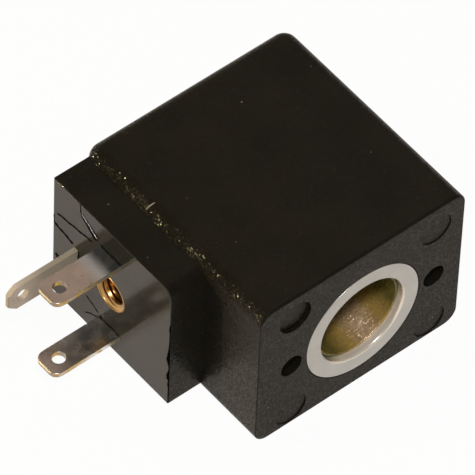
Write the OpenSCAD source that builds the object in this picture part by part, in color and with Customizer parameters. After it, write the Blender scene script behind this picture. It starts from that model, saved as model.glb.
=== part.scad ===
// Solenoid valve coil: a moulded block round a wound bobbin and its steel yoke,
// with a lined through bore and a three-tab plug face on a pad at one side.
// Millimetres. The bore runs along Y through the origin, which is at mid length.
// The front face looks towards -Y, the plug face towards -X, and Z is up.

/* [Body] */
// Bore axis to the side that carries the plug pad
body_left = 11.25; // [10.8:0.05:13]
// Bore axis to the side opposite the plug pad
body_right = 10.6; // [10.1:0.05:13]
// Bore axis to the top face
body_above = 9.0; // [8.4:0.1:11]
// Bore axis to the bottom face
body_below = 7.8; // [7.7:0.1:10]
// Length along the bore
body_length = 23.2; // [21:0.1:27]
// Radius of the four long edges and of the edges round the rear face
edge_radius = 1.35; // [0.5:0.05:2]
// Moulding between each end face and the yoke plate behind it
end_wall = 1.2; // [0.9:0.05:1.8]

/* [Plug pad] */
// How far the pad stands out from the side of the body
pad_depth = 3.5; // [2.8:0.1:6]
// Pad length along the bore
pad_length = 15.45; // [14.2:0.05:19]
// Rear end of the pad in front of the rear face
pad_setback = 0.6; // [0:0.05:1]
// Step down from the top face to the pad, and up from the bottom face
pad_step = 1.0; // [0.2:0.1:1.4]
// Radius of the pad's upper front edge
pad_edge_radius = 1.2; // [0.3:0.1:2]
// Plug centre from the rear face
plug_from_rear = 8.2; // [7.2:0.05:9.2]
// Plug centre above the bore axis
plug_height = 0.2; // [-0.3:0.05:0.9]

/* [Contact tabs] */
// Distance between the two line tabs, centre to centre
line_tab_pitch = 9.4; // [8:0.1:10.4]
// Plug centre to the middle of the earth tab
earth_tab_offset = 4.54; // [4.1:0.02:5.1]
// Tab width
tab_width = 2.8; // [2.2:0.1:3.2]
// Tab sheet thickness
tab_thickness = 0.5; // [0.4:0.05:0.7]
// Line tab length in front of the pad
line_tab_reach = 6.9; // [5:0.1:9]
// Earth tab length in front of the pad
earth_tab_reach = 7.3; // [5:0.1:10]
// Tab length buried in the moulding
tab_root = 4.3; // [3.4:0.1:4.8]
// Detent hole diameter
tab_hole = 1.2; // [0.8:0.1:1.5]
// Detent hole centre from the tip
tab_hole_from_tip = 1.55; // [1.3:0.05:2.5]
// Radius of the line tab's tip corners
line_tip_radius = 0.9; // [0.2:0.05:1]
// Corner cut at the earth tab's tip, along the tab
earth_tip_cut = 0.9; // [0.3:0.05:1.4]
// Width of the earth tab's flat end
earth_tip_width = 1.3; // [0.6:0.1:2]
// Bevel at the tip edges, along the tab
tip_bevel = 0.15; // [0.1:0.05:0.6]
// Diameter of the locking hole in each buried line tab root
root_hole = 1.0; // [0.6:0.1:1.4]

/* [Threaded insert] */
// Length of the insert
insert_length = 4.4; // [3.4:0.1:4.7]
// Outside diameter of the collar at the pad face
insert_collar = 3.8; // [3.6:0.1:4.2]
// Length of the collar
insert_collar_length = 0.8; // [0.5:0.1:1.2]
// Outside diameter of the two gripping bands
insert_band = 4.6; // [4.3:0.1:5]
// Width of the groove between the bands
insert_groove_width = 1.0; // [0.6:0.1:1.4]
// Core diameter of the thread
thread_core = 2.5; // [2:0.1:2.6]
// Diameter of the countersunk mouth
mouth_diameter = 3.2; // [3:0.1:3.5]
// Depth of the countersunk mouth
mouth_depth = 0.2; // [0.1:0.05:0.7]

/* [Bore] */
// Clear bore of the lining sleeve
bore_diameter = 8.2; // [7.6:0.1:8.4]
// Wall of the lining sleeve
sleeve_wall = 0.25; // [0.2:0.01:0.32]
// Radial play between the sleeve and the pieces round it
sleeve_play = 0.03; // [0.01:0.01:0.06]
// Sleeve end behind each end face
sleeve_setback = 0.7; // [0.3:0.05:0.85]
// Outside diameter of the pole rings
ring_diameter = 12.0; // [11.2:0.1:12.8]
// Radial gap between a pole ring and the moulding
ring_gap = 0.08; // [0.02:0.01:0.15]

/* [Yoke] */
// Steel strip thickness
yoke_thickness = 1.5; // [1:0.05:1.7]
// Height of the two end plates
plate_height = 13.0; // [12:0.1:13.6]
// Height of the two side legs
leg_height = 6.4; // [5:0.1:6.8]
// Height of the tenons that enter the front plate
tenon_height = 3.6; // [2.4:0.1:4.4]
// Play between tenon and slot, on each side
tenon_play = 0.05; // [0.02:0.01:0.1]
// Play between the bobbin flanges and the legs
flange_play = 0.1; // [0.05:0.01:0.2]

/* [Bobbin and winding] */
// Flange diameter
flange_diameter = 14.2; // [13.8:0.1:14.4]
// Flange thickness
flange_thickness = 1.0; // [0.6:0.1:1.5]
// Wall of the bobbin core
core_wall = 0.8; // [0.5:0.05:1]
// Outside diameter of the winding
winding_diameter = 13.0; // [12.2:0.1:13.2]
// Thickness of the wrapped tape
tape_thickness = 0.2; // [0.1:0.02:0.28]

/* [Leads and earth joint] */
// Lead wire diameter
lead_diameter = 0.4; // [0.25:0.05:0.5]
// Sleeving outside diameter
sleeving_diameter = 0.9; // [0.7:0.05:1]
// Length of each soldered joint
solder_length = 1.4; // [0.8:0.1:1.8]
// Diameter of each soldered joint
solder_diameter = 1.1; // [0.8:0.05:1.4]
// Solder between a lead and its tab
solder_film = 0.1; // [0.05:0.01:0.15]
// Length of the earth tab's foot on the yoke
foot_length = 3.6; // [3:0.1:4.4]
// Earth rivet shank diameter
rivet_diameter = 1.2; // [0.8:0.1:1.5]
// Earth rivet head diameter
rivet_head = 2.0; // [1.7:0.1:2.3]
// Earth rivet head height
rivet_head_height = 0.4; // [0.2:0.05:0.5]

/* [Moulding marks] */
// Ejector mark diameter on the front face
mark_diameter = 3.3; // [2:0.1:3.4]
// Depth of the shallow ejector marks
mark_depth = 0.1; // [0.04:0.02:0.3]
// Depth of the one deeper ejector mark
deep_mark_depth = 0.35; // [0.1:0.05:0.6]
// Ejector mark spacing across the front face
mark_spacing_x = 15.0; // [14.2:0.1:15.4]
// Ejector mark spacing up the front face
mark_spacing_z = 12.2; // [11.4:0.1:12.2]
// Height of the mark pattern above the bore axis
mark_height = 0.2; // [0.1:0.05:0.5]
// Support pin hole diameter
pin_hole_diameter = 2.2; // [1.2:0.1:2.4]
// Spacing of the two support pin holes
pin_hole_spacing = 15.3; // [15:0.1:16]
// Depth of the support pin holes
pin_hole_depth = 0.7; // [0.3:0.05:0.8]

/* [Hidden] */
$fn = 64;
// Extra reach that lets a cutter pass clean through a face
cut = 0.5;
// Turn of the corner balls, which keeps their poles off the faces that meet them
ball_turn = [35, 20, 0];

front_y = -body_length / 2;
rear_y = body_length / 2;
pad_x = -body_left - pad_depth;
pad_root_x = -body_left + 2 * edge_radius;
pad_front_y = rear_y - pad_setback - pad_length;
pad_bottom_z = -body_below + pad_step;
pad_top_z = body_above - pad_step;
plug_y = rear_y - plug_from_rear;

sleeve_radius = bore_diameter / 2 + sleeve_wall;
hole_radius = sleeve_radius + sleeve_play;
ring_radius = ring_diameter / 2;
core_radius = hole_radius + core_wall;
flange_radius = flange_diameter / 2;
winding_radius = winding_diameter / 2;
tape_radius = winding_radius + tape_thickness;

plate_front_y = front_y + end_wall;
bobbin_front_y = plate_front_y + yoke_thickness;
bobbin_rear_y = rear_y - end_wall - yoke_thickness;
plate_rear_y = rear_y - end_wall;
winding_front_y = bobbin_front_y + flange_thickness;
winding_rear_y = bobbin_rear_y - flange_thickness;
leg_inner_x = flange_radius + flange_play;
leg_outer_x = leg_inner_x + yoke_thickness;
foot_x = -leg_outer_x - tab_thickness;
// How far pieces and rooms that meet at the yoke run into each other
lap = min(yoke_thickness, flange_thickness) / 2;

upper_tab_z = plug_height + line_tab_pitch / 2;
lower_tab_z = plug_height - line_tab_pitch / 2;
earth_tab_y = plug_y + earth_tab_offset;
root_end_x = pad_x + tab_root;
lead_drop = tab_thickness / 2 + solder_film + lead_diameter / 2;
upper_lead_z = upper_tab_z + lead_drop;
lower_lead_z = lower_tab_z - lead_drop;
rivet_y = earth_tab_y - foot_length / 2;

// Draws a flat X-Z shape out along Y between two places
module along_y(from_y, to_y) {
  translate([0, to_y, 0])
    rotate([90, 0, 0])
      linear_extrude(to_y - from_y)
        children();
}

// Draws a flat Y-Z shape out along X between two places
module along_x(from_x, to_x) {
  translate([from_x, 0, 0])
    rotate([90, 0, 90])
      linear_extrude(to_x - from_x)
        children();
}

// Round bar along Y on the bore axis
module bar_y(from_y, to_y, radius) {
  along_y(from_y, to_y) circle(radius);
}

// Round bar along X at a given Y and Z
module bar_x(from_x, to_x, y, z, radius) {
  along_x(from_x, to_x) translate([y, z]) circle(radius);
}

// Round tube along Y on the bore axis
module tube_y(from_y, to_y, inner, outer) {
  along_y(from_y, to_y) difference() {
    circle(outer);
    circle(inner);
  }
}

// Upright strip in the X-Z plane between two X places, centred on a height
module strip(from_x, to_x, middle_z, height) {
  translate([from_x, middle_z - height / 2]) square([to_x - from_x, height]);
}

// Body outline square to the bore
module body_outline() {
  width = body_left + body_right;
  height = body_above + body_below;
  translate([-body_left + edge_radius, -body_below]) square([width - 2 * edge_radius, height]);
  translate([-body_left, -body_below + edge_radius]) square([width, height - 2 * edge_radius]);
  for (x = [-body_left + edge_radius, body_right - edge_radius])
    for (z = [-body_below + edge_radius, body_above - edge_radius])
      translate([x, z]) circle(edge_radius);
}

// Block with rounded long edges, whose rear face runs out into round rims with ball corners
module body_block() {
  round_y = rear_y - edge_radius;
  inner_x = [-body_left + edge_radius, body_right - edge_radius];
  inner_z = [-body_below + edge_radius, body_above - edge_radius];
  inner_width = inner_x[1] - inner_x[0];
  inner_height = inner_z[1] - inner_z[0];
  along_y(front_y, round_y) body_outline();
  translate([inner_x[0], front_y, inner_z[0]]) cube([inner_width, body_length, inner_height]);
  for (z = inner_z) bar_x(inner_x[0], inner_x[1], round_y, z, edge_radius);
  for (x = inner_x) translate([x, round_y, inner_z[0]]) cylinder(h = inner_height, r = edge_radius);
  for (x = inner_x)
    for (z = inner_z)
      translate([x, round_y, z]) rotate(ball_turn) sphere(edge_radius);
}

// Pad outline seen along the tabs, with its upper front edge rounded
module pad_outline() {
  height = pad_top_z - pad_bottom_z;
  translate([pad_front_y, pad_bottom_z]) square([pad_length, height - pad_edge_radius]);
  translate([pad_front_y + pad_edge_radius, pad_bottom_z]) square([pad_length - pad_edge_radius, height]);
  translate([pad_front_y + pad_edge_radius, pad_top_z - pad_edge_radius]) circle(pad_edge_radius);
}

// Line tab seen flat, tip towards -X, centred on Y = 0
module line_tab_outline() {
  tip_x = pad_x - line_tab_reach;
  difference() {
    union() {
      translate([tip_x + line_tip_radius, -tab_width / 2])
        square([root_end_x - tip_x - line_tip_radius, tab_width]);
      translate([tip_x, -tab_width / 2 + line_tip_radius])
        square([line_tip_radius + cut, tab_width - 2 * line_tip_radius]);
      for (y = [-tab_width / 2 + line_tip_radius, tab_width / 2 - line_tip_radius])
        translate([tip_x + line_tip_radius, y]) circle(line_tip_radius);
    }
    translate([tip_x + tab_hole_from_tip, 0]) circle(d = tab_hole);
    translate([pad_x + root_hole, 0]) circle(d = root_hole);
  }
}

// Wedge that bevels one side of a tip lying flat at the given tip place
module tip_wedge(tip_x) {
  rotate([90, 0, 0])
    linear_extrude(2 * tab_width, center = true)
      polygon([
        [tip_x - cut, tab_thickness / 4],
        [tip_x, tab_thickness / 4],
        [tip_x + tip_bevel, tab_thickness / 2],
        [tip_x + tip_bevel, tab_thickness],
        [tip_x - cut, tab_thickness]
      ]);
}

// Flat line tab with its tip bevelled on both sides, centred on Y = 0 and Z = 0
module flat_line_tab() {
  difference() {
    translate([0, 0, -tab_thickness / 2]) linear_extrude(tab_thickness) line_tab_outline();
    tip_wedge(pad_x - line_tab_reach);
    mirror([0, 0, 1]) tip_wedge(pad_x - line_tab_reach);
  }
}

// Earth tab blade lying flat, tip towards -X, centred on Y = 0 and Z = 0
module flat_earth_blade(end_x) {
  tip_x = pad_x - earth_tab_reach;
  difference() {
    translate([0, 0, -tab_thickness / 2])
      linear_extrude(tab_thickness)
        difference() {
          polygon([
            [tip_x, -earth_tip_width / 2],
            [tip_x + earth_tip_cut, -tab_width / 2],
            [end_x, -tab_width / 2],
            [end_x, tab_width / 2],
            [tip_x + earth_tip_cut, tab_width / 2],
            [tip_x, earth_tip_width / 2]
          ]);
          translate([tip_x + tab_hole_from_tip, 0]) circle(d = tab_hole);
        }
    tip_wedge(tip_x);
    mirror([0, 0, 1]) tip_wedge(tip_x);
  }
}

// Plate outline shared by both ends of the yoke
module plate_outline() {
  difference() {
    strip(-leg_outer_x, leg_outer_x, 0, plate_height);
    circle(hole_radius);
  }
}

module line_tab_shape(z) {
  translate([0, plug_y, z]) flat_line_tab();
}

// Earth tab before it is drilled for the rivet, ending at the given X place
module earth_tab_blank(end_x) {
  translate([0, earth_tab_y, plug_height]) rotate([90, 0, 0]) flat_earth_blade(end_x);
  along_x(foot_x, end_x)
    translate([earth_tab_y + tab_thickness / 2 - foot_length, plug_height - tab_width / 2])
      square([foot_length, tab_width]);
}

// Insert before it is drilled, with its mouth at the given X place
module insert_blank(mouth_x) {
  end_x = pad_x + insert_length;
  bands_x = pad_x + insert_collar_length;
  groove_x = (bands_x + end_x - insert_groove_width) / 2;
  bar_x(mouth_x, end_x, plug_y, plug_height, insert_collar / 2);
  bar_x(bands_x, groove_x, plug_y, plug_height, insert_band / 2);
  bar_x(groove_x + insert_groove_width, end_x, plug_y, plug_height, insert_band / 2);
}

module lead_shape(z) {
  start_x = root_end_x - solder_length;
  difference() {
    bar_x(start_x, 0, plug_y, z, lead_diameter / 2);
    bar_y(winding_front_y, winding_rear_y, winding_radius);
  }
}

module sleeving_shape(z) {
  difference() {
    bar_x(root_end_x, 0, plug_y, z, sleeving_diameter / 2);
    bar_x(root_end_x - cut, cut, plug_y, z, lead_diameter / 2);
    bar_y(winding_front_y, winding_rear_y, tape_radius);
  }
}

// Soldered joint on the outer side of a line tab root, facing up (1) or down (-1)
module solder_shape(lead_z, side) {
  face_z = lead_z - side * (lead_diameter / 2 + solder_film);
  low_z = side > 0 ? face_z : face_z - solder_diameter;
  difference() {
    intersection() {
      bar_x(root_end_x - solder_length, root_end_x, plug_y, lead_z, solder_diameter / 2);
      translate([root_end_x - solder_length - cut, plug_y - solder_diameter, low_z])
        cube([solder_length + 2 * cut, 2 * solder_diameter, solder_diameter]);
    }
    bar_x(root_end_x - solder_length - cut, root_end_x + cut, plug_y, lead_z, lead_diameter / 2);
  }
}

// Room in the moulding for the wound bobbin
module bobbin_room() {
  bar_y(bobbin_front_y, bobbin_rear_y, tape_radius);
  bar_y(bobbin_front_y, winding_front_y, flange_radius);
  bar_y(winding_rear_y, bobbin_rear_y, flange_radius);
}

// Joins the room of a yoke plate to the round room that meets one of its faces
module plate_bridge(face_y, radius) {
  along_y(face_y - lap, face_y + lap) intersection() {
    strip(-leg_outer_x, leg_outer_x, 0, plate_height);
    circle(radius);
  }
}

// Room in the moulding for the yoke, whose end plates meet the rings and the flanges
module yoke_room() {
  along_y(plate_front_y, bobbin_front_y) strip(-leg_outer_x, leg_outer_x, 0, plate_height);
  along_y(bobbin_rear_y, plate_rear_y) strip(-leg_outer_x, leg_outer_x, 0, plate_height);
  along_y(plate_front_y + lap, plate_rear_y - lap) {
    strip(-leg_outer_x, -leg_inner_x, 0, leg_height);
    strip(leg_inner_x, leg_outer_x, 0, leg_height);
  }
  for (y = [bobbin_front_y, bobbin_rear_y]) plate_bridge(y, flange_radius);
  for (y = [plate_front_y, plate_rear_y]) plate_bridge(y, ring_radius + ring_gap);
}

// Room in the moulding for the earth tab and its rivet, run on into the yoke leg
module earth_room() {
  earth_tab_blank(-leg_outer_x + lap);
  bar_x(foot_x - rivet_head_height, -leg_outer_x + lap, rivet_y, plug_height, rivet_head / 2);
}

// Room in the moulding for a lead with its sleeving and its soldered joint
module lead_room(z) {
  bar_x(root_end_x - solder_length, root_end_x, plug_y, z, solder_diameter / 2);
  bar_x(root_end_x - solder_length / 2, 0, plug_y, z, sleeving_diameter / 2);
}

// Ejector marks and support pin holes in the front face
module front_marks() {
  for (side_x = [-1, 1])
    for (side_z = [-1, 1]) {
      depth = side_x < 0 && side_z > 0 ? deep_mark_depth : mark_depth;
      translate([side_x * mark_spacing_x / 2, 0, mark_height + side_z * mark_spacing_z / 2])
        bar_y(front_y - cut, front_y + depth, mark_diameter / 2);
    }
  for (side_x = [-1, 1])
    translate([side_x * pin_hole_spacing / 2, 0, 0])
      bar_y(front_y - cut, front_y + pin_hole_depth, pin_hole_diameter / 2);
}

module housing() {
  color([0.13, 0.12, 0.11]) difference() {
    union() {
      body_block();
      along_x(pad_x, pad_root_x) pad_outline();
    }
    bar_y(front_y - cut, plate_front_y, ring_radius + ring_gap);
    bar_y(plate_rear_y, rear_y + cut, ring_radius + ring_gap);
    front_marks();
    bobbin_room();
    yoke_room();
    line_tab_shape(upper_tab_z);
    line_tab_shape(lower_tab_z);
    earth_room();
    insert_blank(pad_x - cut);
    lead_room(upper_lead_z);
    lead_room(lower_lead_z);
  }
}

module front_pole_ring() {
  color([0.72, 0.7, 0.68]) tube_y(front_y, plate_front_y, hole_radius, ring_radius);
}

module rear_pole_ring() {
  color([0.72, 0.7, 0.68]) tube_y(plate_rear_y, rear_y, hole_radius, ring_radius);
}

module bore_sleeve() {
  color([0.55, 0.42, 0.22])
    tube_y(front_y + sleeve_setback, rear_y - sleeve_setback, bore_diameter / 2, sleeve_radius);
}

module bobbin() {
  color([0.85, 0.82, 0.74]) {
    tube_y(bobbin_front_y, bobbin_rear_y, hole_radius, core_radius);
    tube_y(bobbin_front_y, winding_front_y, hole_radius, flange_radius);
    tube_y(winding_rear_y, bobbin_rear_y, hole_radius, flange_radius);
  }
}

module winding() {
  color([0.72, 0.36, 0.16]) tube_y(winding_front_y, winding_rear_y, core_radius, winding_radius);
}

module winding_tape() {
  color([0.85, 0.7, 0.2]) difference() {
    tube_y(winding_front_y, winding_rear_y, winding_radius, tape_radius);
    bar_x(-body_left, 0, plug_y, upper_lead_z, lead_diameter / 2);
    bar_x(-body_left, 0, plug_y, lower_lead_z, lead_diameter / 2);
  }
}

module yoke_bracket() {
  tenon = tenon_height - 2 * tenon_play;
  color([0.6, 0.6, 0.62]) difference() {
    union() {
      along_y(bobbin_rear_y, plate_rear_y) plate_outline();
      along_y(bobbin_front_y, bobbin_rear_y + lap) {
        strip(-leg_outer_x, -leg_inner_x, 0, leg_height);
        strip(leg_inner_x, leg_outer_x, 0, leg_height);
      }
      along_y(plate_front_y, bobbin_front_y + lap) {
        strip(-leg_outer_x, -leg_inner_x - tenon_play, 0, tenon);
        strip(leg_inner_x + tenon_play, leg_outer_x, 0, tenon);
      }
    }
    bar_x(-leg_outer_x - cut, -leg_inner_x + cut, rivet_y, plug_height, rivet_diameter / 2);
  }
}

module yoke_front_plate() {
  color([0.6, 0.6, 0.62]) along_y(plate_front_y, bobbin_front_y) difference() {
    plate_outline();
    strip(-leg_outer_x - cut, -leg_inner_x, 0, tenon_height);
    strip(leg_inner_x, leg_outer_x + cut, 0, tenon_height);
  }
}

module line_tab_upper() {
  color([0.66, 0.6, 0.55]) line_tab_shape(upper_tab_z);
}

module line_tab_lower() {
  color([0.66, 0.6, 0.55]) line_tab_shape(lower_tab_z);
}

module earth_tab() {
  color([0.66, 0.6, 0.55]) difference() {
    earth_tab_blank(-leg_outer_x);
    bar_x(foot_x - cut, -leg_outer_x + cut, rivet_y, plug_height, rivet_diameter / 2);
  }
}

module earth_rivet() {
  color([0.75, 0.6, 0.3]) {
    bar_x(foot_x - rivet_head_height, -leg_inner_x, rivet_y, plug_height, rivet_diameter / 2);
    bar_x(foot_x - rivet_head_height, foot_x, rivet_y, plug_height, rivet_head / 2);
  }
}

module threaded_insert() {
  color([0.8, 0.62, 0.3]) difference() {
    insert_blank(pad_x);
    bar_x(pad_x - cut, pad_x + insert_length + cut, plug_y, plug_height, thread_core / 2);
    translate([pad_x, plug_y, plug_height])
      rotate([0, 90, 0])
        cylinder(h = mouth_depth, d1 = mouth_diameter, d2 = thread_core);
  }
}

module start_lead() {
  color([0.72, 0.36, 0.16]) lead_shape(upper_lead_z);
}

module finish_lead() {
  color([0.72, 0.36, 0.16]) lead_shape(lower_lead_z);
}

module start_sleeving() {
  color([0.8, 0.15, 0.1]) sleeving_shape(upper_lead_z);
}

module finish_sleeving() {
  color([0.8, 0.15, 0.1]) sleeving_shape(lower_lead_z);
}

module start_solder() {
  color([0.7, 0.7, 0.72]) solder_shape(upper_lead_z, 1);
}

module finish_solder() {
  color([0.7, 0.7, 0.72]) solder_shape(lower_lead_z, -1);
}

housing();
front_pole_ring();
rear_pole_ring();
bore_sleeve();
bobbin();
winding();
winding_tape();
yoke_bracket();
yoke_front_plate();
line_tab_upper();
line_tab_lower();
earth_tab();
earth_rivet();
threaded_insert();
start_lead();
finish_lead();
start_sleeving();
finish_sleeving();
start_solder();
finish_solder();
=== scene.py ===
import math

import bmesh
import bpy
import numpy as np
from mathutils import Matrix, Vector


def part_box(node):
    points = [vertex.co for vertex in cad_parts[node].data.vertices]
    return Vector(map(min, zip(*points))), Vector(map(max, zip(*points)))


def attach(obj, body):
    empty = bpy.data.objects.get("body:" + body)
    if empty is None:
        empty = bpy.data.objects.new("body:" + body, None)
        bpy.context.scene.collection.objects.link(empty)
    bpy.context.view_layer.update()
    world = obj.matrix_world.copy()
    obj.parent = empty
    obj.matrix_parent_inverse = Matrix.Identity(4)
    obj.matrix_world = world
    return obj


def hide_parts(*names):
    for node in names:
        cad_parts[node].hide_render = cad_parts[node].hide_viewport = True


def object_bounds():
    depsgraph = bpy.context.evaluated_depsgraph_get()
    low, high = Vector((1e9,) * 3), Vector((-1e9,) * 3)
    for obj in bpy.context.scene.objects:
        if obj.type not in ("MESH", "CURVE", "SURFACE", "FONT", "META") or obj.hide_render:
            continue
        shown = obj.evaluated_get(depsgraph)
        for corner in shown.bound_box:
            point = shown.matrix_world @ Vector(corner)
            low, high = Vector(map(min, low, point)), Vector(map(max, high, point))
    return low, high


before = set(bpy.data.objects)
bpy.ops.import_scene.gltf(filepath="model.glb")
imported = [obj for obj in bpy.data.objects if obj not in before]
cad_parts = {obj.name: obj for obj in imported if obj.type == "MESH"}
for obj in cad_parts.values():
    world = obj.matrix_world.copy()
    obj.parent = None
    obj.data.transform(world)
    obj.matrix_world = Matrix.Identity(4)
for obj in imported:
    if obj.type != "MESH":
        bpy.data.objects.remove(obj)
cadLow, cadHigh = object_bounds()
mm = 0.001
print("frame loaded with", len(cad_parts), "nodes")

# where the main faces lie, in metres
housingLow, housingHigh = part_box("housing")
insertLow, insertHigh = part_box("threaded_insert")
padFaceX = housingLow.x
frontY = housingLow.y
rearY = housingHigh.y
plugY = (insertLow.y + insertHigh.y) / 2
plugZ = (insertLow.z + insertHigh.z) / 2


# camera: one long lens, rolled a little about its own axis
shot = {
    "eye": (-245.75, -275.11, 458.64),
    "aim": (-2.585, 1.597, 0.0),
    "rollDegrees": 2.604,
    "lens": 535.44,
    "sensor": 36.0,
    "clip": (0.01, 50.0),
}


def makeCamera():
    data = bpy.data.cameras.new("camera")
    data.lens = shot["lens"]
    data.sensor_width = shot["sensor"]
    data.clip_start, data.clip_end = shot["clip"]
    camera = bpy.data.objects.new("camera", data)
    eye = Vector(shot["eye"]) * mm
    aim = Vector(shot["aim"]) * mm
    turn = (aim - eye).to_track_quat("-Z", "Y").to_matrix().to_4x4()
    roll = Matrix.Rotation(math.radians(shot["rollDegrees"]), 4, "Z")
    camera.matrix_world = Matrix.Translation(eye) @ turn @ roll
    bpy.context.scene.collection.objects.link(camera)
    bpy.context.scene.camera = camera


makeCamera()
bpy.context.scene.view_settings.view_transform = "Standard"
print("camera set")


# node helpers
def plug(tree, node, values):
    for name, value in values.items():
        if isinstance(value, bpy.types.NodeSocket):
            tree.links.new(value, node.inputs[name])
        else:
            node.inputs[name].default_value = value


def addNode(tree, kind, values=None, **settings):
    node = tree.nodes.new(kind)
    for name, value in settings.items():
        setattr(node, name, value)
    plug(tree, node, values or {})
    return node


def mathNode(tree, operation, *values):
    return addNode(tree, "ShaderNodeMath", dict(enumerate(values)), operation=operation).outputs[0]


def vectorNode(tree, operation, *values):
    return addNode(tree, "ShaderNodeVectorMath", dict(enumerate(values)), operation=operation).outputs


def rangeNode(tree, value, low, high, toLow, toHigh):
    limits = {"Value": value, "From Min": low, "From Max": high, "To Min": toLow, "To Max": toHigh}
    return addNode(tree, "ShaderNodeMapRange", limits, clamp=True).outputs["Result"]


def mixColour(tree, share, first, second):
    node = addNode(tree, "ShaderNodeMix", data_type="RGBA")
    for socket, value in ((0, share), (6, first), (7, second)):
        if isinstance(value, bpy.types.NodeSocket):
            tree.links.new(value, node.inputs[socket])
        else:
            node.inputs[socket].default_value = value if socket == 0 else (*value, 1.0)
    return node.outputs[2]


def startGroup(name, inputs, outputs):
    group = bpy.data.node_groups.new(name, "ShaderNodeTree")
    for label, kind, value in inputs:
        socket = group.interface.new_socket(label, in_out="INPUT", socket_type="NodeSocket" + kind)
        if value is not None:
            socket.default_value = value
    for label, kind in outputs:
        group.interface.new_socket(label, in_out="OUTPUT", socket_type="NodeSocket" + kind)
    return group, group.nodes.new("NodeGroupInput").outputs, group.nodes.new("NodeGroupOutput").inputs


def useGroup(tree, group, values):
    return addNode(tree, "ShaderNodeGroup", values, node_tree=group).outputs


# effects that several finishes share, all sized in metres
effects = {
    "grainDetail": 2.0,
    "pitShare": 0.6,
    "leanGain": 2.0,
    "blotchDetail": 4.0,
    "blotchSpan": (0.32, 0.68),
    "wornSpan": (0.99, 0.86),
    "wornSamples": 4,
    "streakDetail": 3.0,
    "turnedDetail": 2.0,
}


def makeGrainGroup():
    # pebbled height: fine noise with round pits let into it
    group, given, out = startGroup(
        "mouldGrain", [("Vector", "Vector", None), ("Size", "Float", 0.0002)], [("Height", "Float")]
    )
    cells = {"Vector": given["Vector"], "Scale": mathNode(group, "DIVIDE", 1.0, given["Size"])}
    noise = addNode(group, "ShaderNodeTexNoise", {**cells, "Detail": effects["grainDetail"]})
    pits = addNode(group, "ShaderNodeTexVoronoi", cells, feature="SMOOTH_F1")
    share = mathNode(group, "MULTIPLY", pits.outputs["Distance"], effects["pitShare"])
    group.links.new(mathNode(group, "ADD", noise.outputs[0], share), out["Height"])
    return group


def makeFleckGroup():
    # grain facets: inside each cell of a random packing the height is a plane that leans the cell's own way
    group, given, out = startGroup(
        "leaningFlecks",
        [("Vector", "Vector", None), ("Size", "Float", 0.00013), ("Lean", "Float", 0.3)],
        [("Height", "Float")],
    )
    scale = mathNode(group, "DIVIDE", 1.0, given["Size"])
    cells = addNode(group, "ShaderNodeTexVoronoi", {"Vector": given["Vector"], "Scale": scale})
    way = vectorNode(group, "SUBTRACT", cells.outputs["Color"], (0.5, 0.5, 0.5))[0]
    away = vectorNode(group, "SUBTRACT", given["Vector"], cells.outputs["Position"])[0]
    rise = vectorNode(group, "DOT_PRODUCT", way, away)["Value"]
    lean = mathNode(group, "MULTIPLY", given["Lean"], effects["leanGain"])
    group.links.new(mathNode(group, "MULTIPLY", rise, lean), out["Height"])
    return group


def makeBlotchGroup():
    # slow change of tone between two levels
    group, given, out = startGroup(
        "blotches",
        [("Vector", "Vector", None), ("Size", "Float", 0.004), ("Low", "Float", 0.0), ("High", "Float", 1.0)],
        [("Value", "Float")],
    )
    scale = mathNode(group, "DIVIDE", 1.0, given["Size"])
    cells = {"Vector": given["Vector"], "Scale": scale, "Detail": effects["blotchDetail"]}
    noise = addNode(group, "ShaderNodeTexNoise", cells)
    level = rangeNode(group, noise.outputs[0], *effects["blotchSpan"], given["Low"], given["High"])
    group.links.new(level, out["Value"])
    return group


def makeSpeckGroup():
    # small round spots: a few of the cells of a random packing, near their middles
    group, given, out = startGroup(
        "specks",
        [
            ("Vector", "Vector", None),
            ("Spacing", "Float", 0.0015),
            ("Share", "Float", 0.1),
            ("Radius", "Float", 0.05),
        ],
        [("Mask", "Float")],
    )
    scale = mathNode(group, "DIVIDE", 1.0, given["Spacing"])
    cells = addNode(group, "ShaderNodeTexVoronoi", {"Vector": given["Vector"], "Scale": scale})
    tone = addNode(group, "ShaderNodeSeparateColor", {"Color": cells.outputs["Color"]})
    chosen = mathNode(group, "LESS_THAN", tone.outputs["Red"], given["Share"])
    near = mathNode(group, "LESS_THAN", cells.outputs["Distance"], given["Radius"])
    group.links.new(mathNode(group, "MULTIPLY", chosen, near), out["Mask"])
    return group


def makeEdgeGroup():
    # worn edges: where a rounded normal leaves the true one
    group, given, out = startGroup("edgeWear", [("Radius", "Float", 0.0001)], [("Mask", "Float")])
    soft = addNode(group, "ShaderNodeBevel", {"Radius": given["Radius"]}, samples=effects["wornSamples"])
    true = addNode(group, "ShaderNodeNewGeometry")
    match = vectorNode(group, "DOT_PRODUCT", soft.outputs[0], true.outputs["Normal"])["Value"]
    group.links.new(rangeNode(group, match, *effects["wornSpan"], 0.0, 1.0), out["Mask"])
    return group


def makeStreakGroup():
    # lines drawn out one way: noise squeezed by its own size along each axis
    group, given, out = startGroup(
        "drawnStreaks",
        [("Vector", "Vector", None), ("Sizes", "Vector", (0.002, 0.0001, 0.0001))],
        [("Height", "Float")],
    )
    spread = vectorNode(group, "DIVIDE", given["Vector"], given["Sizes"])[0]
    lines = {"Vector": spread, "Scale": 1.0, "Detail": effects["streakDetail"]}
    noise = addNode(group, "ShaderNodeTexNoise", lines)
    group.links.new(noise.outputs[0], out["Height"])
    return group


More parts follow.
